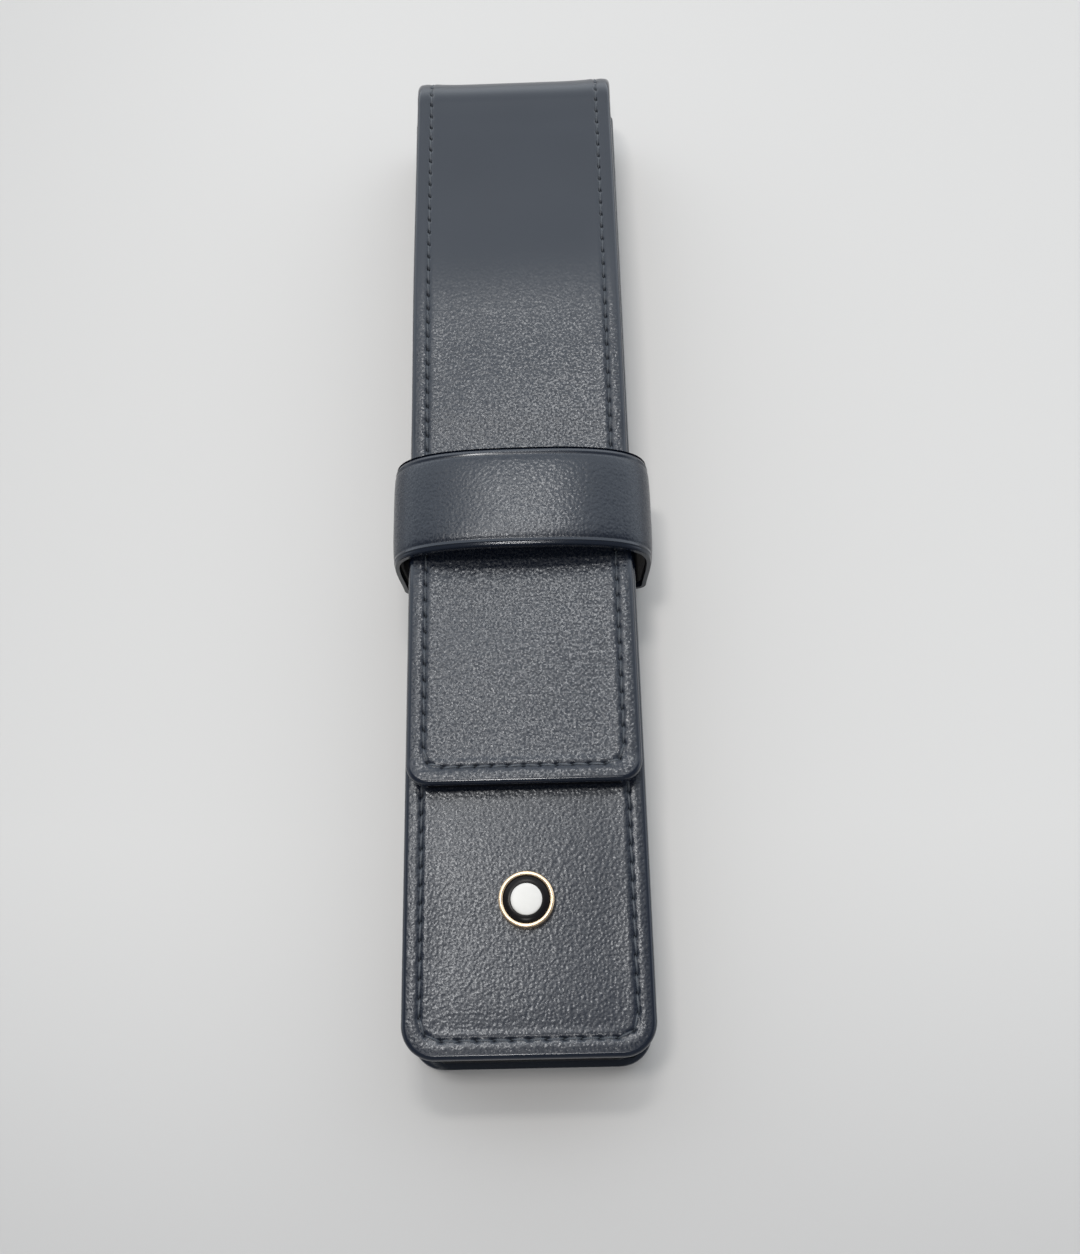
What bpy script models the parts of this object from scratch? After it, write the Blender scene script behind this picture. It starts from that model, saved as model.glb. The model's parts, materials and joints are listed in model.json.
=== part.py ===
"""Leather case for one pen: a flat gusseted pocket, a flap that folds over its mouth and
tucks under a fixed loop, and a small round emblem on the front.

The case lies on its back. X runs across it, +Y runs from the closed end to the fold, +Z is up.
The origin is under the middle of the case, on the surface that it lies on. All sizes in metres.
"""
import math

import bmesh
import bpy

# Overall sizes
case_length = 0.1610
case_width = 0.0332
body_height = 0.0144
corner_radius = 0.0045

# Layers of a panel, and the gaps between them
outer_leather = 0.0011
board_thickness = 0.0007
lining_thickness = 0.0005
glue_gap = 0.0003
turned_edge_radius = 0.0009
lining_inset = 0.0009
board_setback = 0.0030

# Pocket
mouth_setback = 0.0090
front_set_in = 0.0010
mouth_corner_radius = 0.0015
gusset_leather = 0.0010
gusset_setback = 0.0005
gusset_corner_radius = 0.0008
lip_depth = 0.0034
flange_inset = 0.0004

# Flap
flap_set_in = 0.0005
flap_corner_radius = 0.0030
flap_end_height = 0.0362
flap_rest_gap = 0.0003
hinge_gap = 0.0003
root_length = 0.0036
bend_to_loop = 0.0016

# Loop
loop_width = 0.0156
loop_height_on_case = 0.0772
loop_leather = 0.0011
loop_lining = 0.0005
loop_lining_inset = 0.0005
loop_side_clearance = 0.0005
loop_top_clearance = 0.0023
loop_inner_radius = 0.0052
loop_foot_radius = 0.0020
loop_edge_radius = 0.0004
loop_notch_clearance = 0.0003
loop_tab_clearance = 0.0003
loop_lining_start = 0.0004

# Emblem
emblem_height_on_case = 0.0210
emblem_radius = 0.00375
emblem_ring_wall = 0.0006
emblem_ring_height = 0.0011
emblem_ring_rounding = 0.00025
emblem_gap = 0.0001
emblem_plate = 0.0004
emblem_disc_thickness = 0.0005
emblem_recess = 0.0002
inlay_radius = 0.0021
inlay_proud = 0.00015
inlay_rounding = 0.0001
shank_radius = 0.0008
shank_clearance = 0.0003
shank_head_radius = 0.0012
shank_head = 0.00015
washer_radius = 0.0024
washer_thickness = 0.0003
washer_play = 0.0001
washer_side_clearance = 0.0003

# How finely curves are cut
cut_overrun = 0.0010
corner_steps = 6
edge_steps = 3
fold_steps = 20
bend_steps = 6
turned_steps = 40
smooth_angle = math.radians(35)
hinge_share = 0.25

# Places worked out from the sizes above
panel_stack = outer_leather + board_thickness + lining_thickness + 2 * glue_gap
turn_depth = outer_leather + glue_gap + board_thickness
closed_end = -case_length / 2
front_end = closed_end + front_set_in
flap_width = case_width - 2 * flap_set_in
flap_top = body_height + flap_rest_gap + panel_stack
fold_radius = flap_top / 2
fold_centre = case_length / 2 - fold_radius
mouth = case_length / 2 - mouth_setback
back_run = fold_centre - closed_end
fold_run = math.pi * fold_radius
flap_end = closed_end + flap_end_height
strip_length = back_run + fold_run + fold_centre - flap_end
gusset_low = panel_stack + glue_gap
gusset_high = body_height - panel_stack - glue_gap
loop_middle = closed_end + loop_height_on_case
loop_near = loop_middle - loop_width / 2
loop_far = loop_middle + loop_width / 2
loop_stack = loop_leather + glue_gap + loop_lining
loop_outer = case_width / 2 + loop_side_clearance + loop_stack
loop_top = flap_top + loop_top_clearance + loop_stack
loop_radius = loop_inner_radius + loop_stack

# Lines on which the strip of leather bends, as distances along its outer face
back_fold_line = back_run + hinge_share * fold_run
front_fold_line = back_run + fold_run - hinge_share * fold_run
root_line = back_run + fold_run + root_length
foot_line = back_run + fold_run + fold_centre - loop_far - bend_to_loop
crest_line = (root_line + foot_line) / 2


def clear_scene():
    for item in list(bpy.data.objects):
        bpy.data.objects.remove(item)


def make_material(name, colour, roughness, metallic=0.0):
    material = bpy.data.materials.new(name)
    material.use_nodes = True
    shader = material.node_tree.nodes["Principled BSDF"]
    shader.inputs["Base Color"].default_value = (*colour, 1.0)
    shader.inputs["Roughness"].default_value = roughness
    shader.inputs["Metallic"].default_value = metallic
    return material


def calf_leather(name):
    return make_material(name + "_calf", (0.012, 0.013, 0.016), 0.42)


def lining_leather(name):
    return make_material(name + "_lining", (0.010, 0.010, 0.011), 0.75)


def grey_board(name):
    return make_material(name + "_board", (0.30, 0.28, 0.25), 0.90)


def gilt_metal(name):
    return make_material(name + "_gilt", (0.83, 0.62, 0.33), 0.22, 1.0)


def black_enamel(name):
    return make_material(name + "_enamel", (0.008, 0.008, 0.009), 0.15)


def white_resin(name):
    return make_material(name + "_resin", (0.86, 0.86, 0.84), 0.25)


def finish_object(name, bm, material):
    """Turn a bmesh into a named object with outward faces and smooth round parts."""
    bmesh.ops.recalc_face_normals(bm, faces=bm.faces)
    mesh = bpy.data.meshes.new(name)
    bm.to_mesh(mesh)
    bm.free()
    mesh.shade_smooth()
    mesh.set_sharp_from_angle(angle=smooth_angle)
    made = bpy.data.objects.new(name, mesh)
    bpy.context.collection.objects.link(made)
    if material:
        mesh.materials.append(material)
    return made


def loft(name, rings, material=None):
    """One closed body through rings of equally many points, with both ends filled."""
    bm = bmesh.new()
    loops = [[bm.verts.new(point) for point in ring] for ring in rings]
    count = len(loops[0])
    for near, far in zip(loops, loops[1:]):
        for i in range(count):
            j = (i + 1) % count
            bm.faces.new((near[i], near[j], far[j], far[i]))
    bm.faces.new(list(reversed(loops[0])))
    bm.faces.new(loops[-1])
    return finish_object(name, bm, material)


def cut(target, cutter):
    """Take the cutter's volume out of the target."""
    cutter.hide_render = True
    cutter.display_type = "WIRE"
    boolean = target.modifiers.new("cut_" + cutter.name, "BOOLEAN")
    boolean.operation = "DIFFERENCE"
    boolean.solver = "EXACT"
    boolean.object = cutter
    return target


def box(name, low, high, material=None):
    """A closed box between two corners."""
    rings = [[(low[0], y, low[2]), (high[0], y, low[2]), (high[0], y, high[2]), (low[0], y, high[2])]
             for y in (low[1], high[1])]
    return loft(name, rings, material)


def layer_section(half_width, outer, inner, rounding):
    """Section of a layer as points across and into the panel, its outer corners rounded."""
    points = [(-half_width, inner)]
    if rounding > 0:
        for i in range(edge_steps + 1):
            turn = math.pi / 2 * i / edge_steps
            points.append((-half_width + rounding * (1 - math.cos(turn)),
                           outer + rounding * (1 - math.sin(turn))))
        points += [(-across, depth) for across, depth in reversed(points[1:])]
    else:
        points += [(-half_width, outer), (half_width, outer)]
    points.append((half_width, inner))
    return points


def strip_frame(along):
    """Point and outward normal of the long strip's outer face: back, fold, then flap."""
    if along <= back_run:
        return (closed_end + along, 0.0), (0.0, -1.0)
    if along >= back_run + fold_run:
        return (fold_centre - (along - back_run - fold_run), flap_top), (0.0, 1.0)
    turn = (along - back_run) / fold_radius
    normal = (math.sin(turn), -math.cos(turn))
    return (fold_centre + fold_radius * normal[0], fold_radius + fold_radius * normal[1]), normal


def front_frame(along):
    """Point and outward normal of the front panel's outer face."""
    return (front_end + along, body_height), (0.0, 1.0)


def strip_half_width(along):
    """The strip narrows from the back's width to the flap's over the fold."""
    share = min(max((along - back_run) / fold_run, 0.0), 1.0)
    return (case_width + share * (flap_width - case_width)) / 2


def front_half_width(along):
    return case_width / 2


def rounded_end(radius):
    """Distances from an end whose corners are rounded in plan."""
    return [radius * (1 - math.cos(math.pi / 2 * i / corner_steps)) for i in range(corner_steps + 1)]


def arc_inset(radius, distance):
    """How far a round of this radius draws back from its straight side at a distance from the end."""
    if distance >= radius:
        return 0.0
    return radius - math.sqrt(radius ** 2 - (radius - distance) ** 2)


def run_stations(start, end, start_radius, end_radius):
    """Places along a panel where it needs a section."""
    stations = {start, end}
    if start_radius > 0:
        stations.update(start + step for step in rounded_end(start_radius))
    if end_radius > 0:
        stations.update(end - step for step in rounded_end(end_radius))
    for i in range(fold_steps + 1):
        along = back_run + fold_run * i / fold_steps
        if start < along < end:
            stations.add(along)
    return sorted(stations)


def layer(name, frame, half_width_at, span, depths, inset, radii=(0.0, 0.0), rounding=0.0,
          material=None):
    """A layer of a panel between two distances along it and two depths below its outer face."""
    start, end = span
    outer, inner = depths
    rings = []
    for along in run_stations(start, end, *radii):
        narrow = drop = 0.0
        for radius, distance in ((radii[0], along - start), (radii[1], end - along)):
            if radius > 0:
                narrow = max(narrow, arc_inset(radius, distance))
                drop = max(drop, arc_inset(rounding, distance))
        (y, z), normal = frame(along)
        section = layer_section(half_width_at(along) - inset - narrow, outer + drop, inner, rounding)
        rings.append([(across, y - depth * normal[0], z - depth * normal[1])
                      for across, depth in section])
    return loft(name, rings, material)


def turned_leather(name, frame, half_width_at, span, radii):
    """Outer leather of a panel, its edges turned down over the layers that it covers."""
    body = layer(name, frame, half_width_at, span, (0.0, turn_depth), 0.0, radii,
                 turned_edge_radius, calf_leather(name))
    inner_radii = [max(radius - outer_leather, 0.0) for radius in radii]
    start = span[0] + outer_leather if radii[0] > 0 else span[0] - cut_overrun
    end = span[1] - outer_leather if radii[1] > 0 else span[1] + cut_overrun
    hollow = layer("hollow_of_" + name, frame, half_width_at, (start, end),
                   (outer_leather, turn_depth + cut_overrun), outer_leather, inner_radii)
    return cut(body, hollow)


def inset_span(span, radii, inset):
    """A span drawn in from its closed ends only."""
    start = span[0] + inset if radii[0] > 0 else span[0]
    end = span[1] - inset if radii[1] > 0 else span[1]
    return (start, end), [max(radius - inset, 0.0) for radius in radii]


def panel_board(name, frame, half_width_at, span, radii):
    """Stiff board inside a panel, under the leather and within its turned edges."""
    inset = outer_leather + glue_gap
    board_span, board_radii = inset_span(span, radii, inset)
    return layer(name, frame, half_width_at, board_span, (inset, turn_depth), inset, board_radii,
                 material=grey_board(name))


def panel_lining(name, frame, half_width_at, span, radii):
    """Lining over the board and the turned edges."""
    lining_span, lining_radii = inset_span(span, radii, lining_inset)
    return layer(name, frame, half_width_at, lining_span, (turn_depth + glue_gap, panel_stack),
                 lining_inset, lining_radii, material=lining_leather(name))


def bending_lining(name, span):
    """Backed lining of a stretch that bends and has no board."""
    inset = outer_leather + glue_gap
    return layer(name, strip_frame, strip_half_width, span, (inset, panel_stack), inset,
                 material=lining_leather(name))


def make_back():
    span = (0.0, back_fold_line - hinge_gap / 2)
    radii = (corner_radius, 0.0)
    turned_leather("back_leather", strip_frame, strip_half_width, span, radii)
    panel_board("back_board", strip_frame, strip_half_width, (0.0, back_run - board_setback), radii)
    panel_lining("back_lining", strip_frame, strip_half_width, span, radii)


def make_front():
    span = (0.0, mouth - front_end)
    radii = (corner_radius, mouth_corner_radius)
    leather = turned_leather("front_leather", front_frame, front_half_width, span, radii)
    board = panel_board("front_board", front_frame, front_half_width, span, radii)
    panel_lining("front_lining", front_frame, front_half_width, span, radii)
    hole = shank_radius + shank_clearance
    shank_hole = stacked("shank_hole", [(hole, body_height - panel_stack),
                                        (hole, body_height + cut_overrun)])
    cut(leather, shank_hole)
    cut(board, shank_hole)
    cut(board, stacked("washer_seat", [(washer_radius + washer_side_clearance, body_height - panel_stack),
                                       (washer_radius + washer_side_clearance, washer_top() + washer_play)]))


def wall_point(inset, z, side, turn):
    """Point of the pocket's wall at an inset from the front's outline, at a turn round a corner."""
    radius = max(corner_radius - inset, gusset_corner_radius)
    x = case_width / 2 - inset - radius * (1 - math.cos(turn))
    y = front_end + inset + radius * (1 - math.sin(turn))
    return (side * x, y, z)


def wall_rings(section):
    """Rings of a section of insets and heights, carried from one side of the mouth to the other."""
    end = mouth - gusset_setback
    turns = [math.pi / 2 * i / corner_steps for i in range(corner_steps + 1)]
    rings = [[(-(case_width / 2 - inset), end, z) for inset, z in section]]
    rings += [[wall_point(inset, z, -1, turn) for inset, z in section] for turn in turns]
    rings += [[wall_point(inset, z, 1, turn) for inset, z in section] for turn in reversed(turns)]
    rings.append([(case_width / 2 - inset, end, z) for inset, z in section])
    return rings


def make_gusset():
    """Side wall of the pocket, its two flanges turned out between the panels' edges."""
    inside = lip_depth + gusset_leather
    section = [(flange_inset, gusset_low), (inside, gusset_low), (inside, gusset_high),
               (flange_inset, gusset_high), (flange_inset, gusset_high - gusset_leather),
               (lip_depth, gusset_high - gusset_leather), (lip_depth, gusset_low + gusset_leather),
               (flange_inset, gusset_low + gusset_leather)]
    wall = loft("gusset_leather", wall_rings(section), calf_leather("gusset"))
    notch = box("loop_notch",
                (-case_width, loop_near - loop_notch_clearance, panel_stack),
                (case_width, loop_far + loop_notch_clearance, gusset_low + loop_leather + loop_tab_clearance))
    cut(wall, notch_ends(notch))
    face = inside + glue_gap
    skin = [(face, gusset_low), (face + lining_thickness, gusset_low),
            (face + lining_thickness, gusset_high), (face, gusset_high)]
    loft("gusset_lining", wall_rings(skin), lining_leather("gusset"))


def notch_ends(notch):
    """Keep only the two ends of the notch, outside the pocket's wall."""
    wall_face = case_width / 2 - lip_depth
    middle = box("loop_notch_middle",
                 (-wall_face, loop_near - loop_width, 0.0),
                 (wall_face, loop_far + loop_width, body_height))
    return cut(notch, middle)


def loop_outline(lowest):
    """Outer face of the loop as points and normals, from one side's lowest point to the other's."""
    half = []
    for i in range(bend_steps + 1):
        turn = math.pi / 2 * (1 - i / bend_steps)
        normal = (math.cos(turn), math.sin(turn))
        half.append(((loop_outer - loop_radius + loop_radius * normal[0],
                      loop_top - loop_radius + loop_radius * normal[1]), normal))
    half.append(((loop_outer, lowest), (1.0, 0.0)))
    return half


def mirrored(half):
    """A half outline, taken up one side and down the other."""
    other = [((-x, z), (-across, up)) for (x, z), (across, up) in reversed(half)]
    return other + half


def band(name, outline, depths, inset, rounding, material):
    """A band that follows an outline seen along the case, as wide as the loop less an inset."""
    rings = []
    for (x, z), normal in outline:
        section = layer_section(loop_width / 2 - inset, depths[0], depths[1], rounding)
        rings.append([(x - depth * normal[0], loop_middle + across, z - depth * normal[1])
                      for across, depth in section])
    return loft(name, rings, material)


def make_loop():
    """Fixed loop over the flap, its two ends let in between the back and the gusset's flange."""
    foot = gusset_low + loop_foot_radius
    half = loop_outline(foot)
    for i in range(1, bend_steps + 1):
        turn = -math.pi / 2 * i / bend_steps
        normal = (math.cos(turn), math.sin(turn))
        half.append(((loop_outer - loop_foot_radius + loop_foot_radius * normal[0],
                      foot + loop_foot_radius * normal[1]), normal))
    tab_end = case_width / 2 - lip_depth + loop_tab_clearance
    half.append(((tab_end, gusset_low), (0.0, -1.0)))
    band("loop_leather", mirrored(half), (0.0, loop_leather), 0.0, loop_edge_radius,
         calf_leather("loop"))
    skin = loop_leather + glue_gap
    band("loop_lining", mirrored(loop_outline(foot + loop_lining_start)), (skin, skin + loop_lining),
         loop_lining_inset, 0.0, lining_leather("loop"))


def make_fold():
    span = (back_fold_line + hinge_gap / 2, front_fold_line - hinge_gap / 2)
    turned_leather("fold_leather", strip_frame, strip_half_width, span, (0.0, 0.0))
    bending_lining("fold_lining", span)


def make_bending_flap():
    """The three short stretches of the flap between the fold and the loop."""
    lines = [front_fold_line, root_line, crest_line, foot_line]
    for name, near, far in zip(("flap_root", "flap_upper", "flap_middle"), lines, lines[1:]):
        span = (near + hinge_gap / 2, far - hinge_gap / 2)
        turned_leather(name + "_leather", strip_frame, strip_half_width, span, (0.0, 0.0))
        bending_lining(name + "_lining", span)


def make_tongue():
    """The stiff end of the flap, which goes under the loop."""
    span = (foot_line + hinge_gap / 2, strip_length)
    radii = (0.0, flap_corner_radius)
    turned_leather("flap_tongue_leather", strip_frame, strip_half_width, span, radii)
    panel_board("flap_tongue_board", strip_frame, strip_half_width, span, radii)
    panel_lining("flap_tongue_lining", strip_frame, strip_half_width, span, radii)


def circle(radius, z):
    """Ring of points round the emblem's axis."""
    middle = closed_end + emblem_height_on_case
    turns = [2 * math.pi * i / turned_steps for i in range(turned_steps)]
    return [(radius * math.cos(turn), middle + radius * math.sin(turn), z) for turn in turns]


def stacked(name, profile, material=None):
    """Round body through circles of a radius and a height each."""
    return loft(name, [circle(radius, z) for radius, z in profile], material)


def rounded_top(radius, rounding, top):
    """Radii and heights of a round rim, from its side to its flat top."""
    steps = [math.pi / 2 * i / edge_steps for i in range(edge_steps + 1)]
    return [(radius - rounding * (1 - math.cos(turn)), top - rounding * (1 - math.sin(turn)))
            for turn in steps]


def revolved(name, profile, material):
    """Ring made by turning a closed profile of radii and heights round the emblem's axis."""
    bm = bmesh.new()
    around = list(zip(*[[bm.verts.new(point) for point in circle(radius, z)] for radius, z in profile]))
    for near, far in zip(around, around[1:] + around[:1]):
        for i in range(len(profile)):
            j = (i + 1) % len(profile)
            bm.faces.new((near[i], near[j], far[j], far[i]))
    return finish_object(name, bm, material)


def washer_top():
    """Top of the washer that holds the emblem, let into the underside of the front board."""
    return body_height - turn_depth + board_thickness / 2 + washer_thickness / 2


def make_emblem():
    """Gilt ring round a black disc with a plain round white inlay, on a riveted shank."""
    foot = body_height + glue_gap
    ring_top = foot + emblem_ring_height
    bore = emblem_radius - emblem_ring_wall
    outside = rounded_top(emblem_radius, emblem_ring_rounding, ring_top)
    inside = [(2 * bore + emblem_ring_wall - radius, z) for radius, z in reversed(outside)]
    ring_profile = [(emblem_radius, foot)] + outside + inside + [(bore, foot)]
    revolved("emblem_ring", ring_profile, gilt_metal("emblem_ring"))

    plate_top = foot + emblem_plate
    disc_low = plate_top + emblem_gap
    disc_top = disc_low + emblem_disc_thickness
    disc_radius = bore - emblem_gap
    disc = stacked("emblem_disc", [(disc_radius, disc_low), (disc_radius, disc_top)],
                   black_enamel("emblem_disc"))
    recess_low = disc_top - emblem_recess
    cut(disc, stacked("inlay_seat", [(inlay_radius + emblem_gap, recess_low),
                                     (inlay_radius + emblem_gap, disc_top + cut_overrun)]))
    inlay = [(inlay_radius, recess_low + emblem_gap)]
    inlay += rounded_top(inlay_radius, inlay_rounding, disc_top + inlay_proud)
    stacked("emblem_inlay", inlay, white_resin("emblem_inlay"))

    under_washer = washer_top() - washer_thickness - washer_play
    shank = [(shank_head_radius, under_washer - shank_head), (shank_head_radius, under_washer),
             (shank_radius, under_washer), (shank_radius, foot), (disc_radius, foot),
             (disc_radius, plate_top)]
    stacked("emblem_shank", shank, gilt_metal("emblem_shank"))
    hole = shank_radius + washer_play
    washer = [(washer_radius, washer_top() - washer_thickness), (washer_radius, washer_top()),
              (hole, washer_top()), (hole, washer_top() - washer_thickness)]
    revolved("emblem_washer", washer, gilt_metal("emblem_washer"))


clear_scene()
make_back()
make_front()
make_gusset()
make_loop()
make_fold()
make_bending_flap()
make_tongue()
make_emblem()
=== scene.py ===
"""Looks of the leather pen case: skins, linings, seams, loop and emblem, modelled round its solids.

Everything is in metres in the frame of the solids: X across the case, +Y towards the fold, +Z up.
The back, fold and flap are one long strip. Its points are given by a place across it, a distance
along its outer face from the closed end, and a depth below that face.
"""
import json
import math

import bpy
import numpy as np
from mathutils import Matrix, Vector


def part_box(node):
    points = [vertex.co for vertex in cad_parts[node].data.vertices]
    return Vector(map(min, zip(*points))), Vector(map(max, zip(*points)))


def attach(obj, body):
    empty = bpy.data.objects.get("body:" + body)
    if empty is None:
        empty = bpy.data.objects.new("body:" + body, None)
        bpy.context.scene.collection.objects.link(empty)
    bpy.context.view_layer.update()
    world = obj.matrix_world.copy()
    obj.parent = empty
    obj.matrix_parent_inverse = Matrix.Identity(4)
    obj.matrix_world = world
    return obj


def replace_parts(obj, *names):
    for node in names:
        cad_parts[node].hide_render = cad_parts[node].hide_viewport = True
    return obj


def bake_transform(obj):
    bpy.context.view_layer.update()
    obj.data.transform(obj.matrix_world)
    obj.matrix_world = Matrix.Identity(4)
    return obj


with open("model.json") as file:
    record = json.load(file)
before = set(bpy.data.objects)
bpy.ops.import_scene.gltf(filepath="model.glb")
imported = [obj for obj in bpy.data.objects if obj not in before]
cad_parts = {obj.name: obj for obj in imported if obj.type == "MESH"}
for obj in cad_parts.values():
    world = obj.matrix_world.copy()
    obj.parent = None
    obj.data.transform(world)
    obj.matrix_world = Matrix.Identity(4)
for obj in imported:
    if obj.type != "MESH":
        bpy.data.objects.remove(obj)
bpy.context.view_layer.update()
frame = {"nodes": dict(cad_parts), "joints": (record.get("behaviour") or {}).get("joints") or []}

# Sizes read from the frame
back_low, back_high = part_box("back_leather")
front_low, front_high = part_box("front_leather")
gusset_low, gusset_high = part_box("gusset_leather")
gusset_lining_low, gusset_lining_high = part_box("gusset_lining")
tongue_low, tongue_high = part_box("flap_tongue_leather")
tongue_lining_low, tongue_lining_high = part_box("flap_tongue_lining")
fold_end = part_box("fold_leather")[1].y
loop_low, loop_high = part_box("loop_leather")
ring_low, ring_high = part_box("emblem_ring")
disc_low, disc_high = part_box("emblem_disc")
inlay_low, inlay_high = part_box("emblem_inlay")
hinges = {joint["name"]: Vector(joint["pos_m"]) for joint in frame["joints"]}

flap_top = tongue_high.z
fold_radius = flap_top / 2
fold_centre = fold_end - fold_radius
back_run = fold_centre - back_low.y
fold_run = math.pi * fold_radius
strip_length = back_run + fold_run + fold_centre - tongue_low.y
flap_start = back_run + fold_run
front_length = front_high.y - front_low.y
skin_depth = tongue_high.z - tongue_low.z
lining_depth = tongue_high.z - tongue_lining_low.z
lining_inset = tongue_high.x - tongue_lining_high.x

# Leather and seams
leather_thickness = 0.0011
edge_round = 0.00072
low_round = 0.0005
low_bevel = 0.3 * low_round
case_corner = 0.0045
flap_corner = 0.0030
mouth_corner = 0.0015
seam_inset = 0.0024
seam_corner = 0.0026
flap_seam_corner = 0.0022
stitch_pitch = 0.0024
groove_depth = 0.00008
groove_width = 0.00027
ridge_height = 0.00006
ridge_inset = 0.00145
ridge_width = 0.00055
shoulder_height = 0.00006
shoulder_inset = 0.00072
shoulder_width = 0.00040
hole_depth = 0.00045
hole_length = 0.00030
hole_width = 0.00018
hole_slant = math.radians(28)
# Burnishing: how far it goes in from an edge, its share over the fold, and how far past the fold it goes
burnished_edge = 0.00058
burnished_fade = 0.00020
fold_share = 0.8
fold_smooth = 0.026
fold_fade = 0.026
wave_height = 0.00005
wave_length = 0.021
wave_slant = 40
wave_fade = 0.004
thread_radius = 0.00019
thread_sink = 0.00012
thread_dive = 0.00026
thread_slant = 0.00008
thread_taper = 0.8
lining_round = 0.0003
lining_groove_depth = 0.00012
lining_groove_width = 0.0004
lining_gap = 0.0001
# How the strip departs from its solid: an arch and a lifted tip, and how it draws in at fold and loop
arch_height = 0.0016
arch_crest = 0.0370
arch_bend = 5
arch_ease = 0.0080
fold_tuck = 0.00035
fold_dip = 0.00035
dip_reach = 0.005
tip_lift = 0.0003
tip_run = 0.004
loop_dip = 0.0003
dip_run = 0.0040

# How finely the meshes are cut, and where their rows and columns lie
edge_steps = 6
corner_steps = 12
seam_step = 0.00015
side_step = 0.001
row_digits = 6
least_row = 0.00002
least_gap = 0.00001
cut_margin = 0.0001
rim_step = low_round / 10
close_reach = 0.0009
hole_batch = 4000
stitch_shares = np.array([-0.17, -0.085, 0.0, 0.085, 0.17, 0.36, 0.64])
ridge_insets = [0.00095, 0.00120, 0.00145, 0.00168, 0.00188]
groove_insets = [0.00202 + 0.000125 * i for i in range(7)]
inner_insets = [0.0030, 0.0034, 0.0040]
wide_columns = 12
close_columns = 8
lining_step = 0.0008
least_lining_rows = 8
lining_columns = 9
lining_insets = np.array([0.0, 0.0001, 0.0003, 0.0008, 0.0012, 0.0015, 0.0018, 0.0024])
thread_rings = 6
thread_sides = 6
smooth_angle = math.radians(50)
mm_per_metre = 1000.0


def rise(u):
    """Smooth step from 0 to 1."""
    u = np.clip(u, 0.0, 1.0)
    return u * u * (3 - 2 * u)


def bell(distance, width):
    return np.exp(-(distance / width) ** 2)


def hollow(radius, reach):
    """How far a round of this radius draws back, from how far inside its centre a place lies."""
    reach = np.clip(reach, 0.0, radius)
    return radius - np.sqrt(radius ** 2 - reach ** 2)


def quarter(steps):
    """Angles from none to a quarter turn."""
    return [math.pi / 2 * i / steps for i in range(steps + 1)]


def distances(points):
    """How far along a line of points each of them lies."""
    return np.concatenate([[0.0], np.cumsum(np.linalg.norm(np.diff(points, axis=0), axis=1))])


def wrapped(section, path):
    """Places on the skin of a section that is drawn along a path."""
    around, along = distances(section)[None], distances(path)[:, None]
    return np.stack(np.broadcast_arrays(around, along, 0.0), -1)


# Materials

# Roughness of the calf on the tops of its grain, over the fold, on its rims and in its stitch holes
top_roughness = 0.26
fold_roughness = 0.30
rim_roughness = 0.17
hole_roughness = 0.8


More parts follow.
